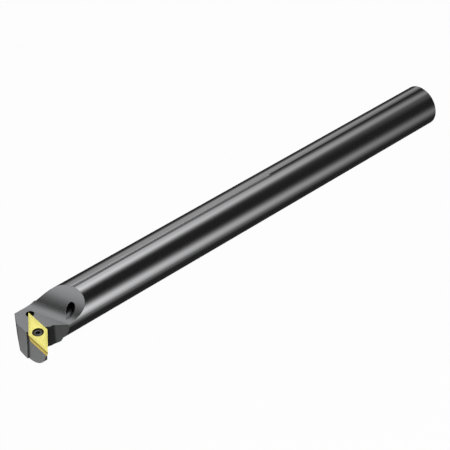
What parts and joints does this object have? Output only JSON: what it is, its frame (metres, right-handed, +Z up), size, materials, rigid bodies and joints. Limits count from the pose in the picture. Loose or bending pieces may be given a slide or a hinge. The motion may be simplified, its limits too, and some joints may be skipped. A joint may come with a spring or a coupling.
{
  "type": "boring bar",
  "caption": "Internal turning bar: a round steel shank with a milled head, a clamped 35 degree insert and a coolant way along its axis.",
  "frame": {"origin": "on the bar axis, where the head ends and the shank is round all the way, 35 mm behind the cutting tip", "axes": "+X along the bar from the head to the tail, +Z up from the face that the chips run over, XY plane at the work's centre height, with the cutting tip at x -35 mm, y -22 mm, z 0"},
  "size_m": [0.3, 0.0354, 0.0305],
  "materials": {
    "bar_steel": "black oxide, semi-gloss",
    "insert_coating": "gold hard coating, satin",
    "screw_steel": "dark steel, satin"
  },
  "bodies": {
    "root": {"bar": "bar_steel", "insert": "insert_coating", "insert_screw": "screw_steel"}
  },
  "joints": []
}
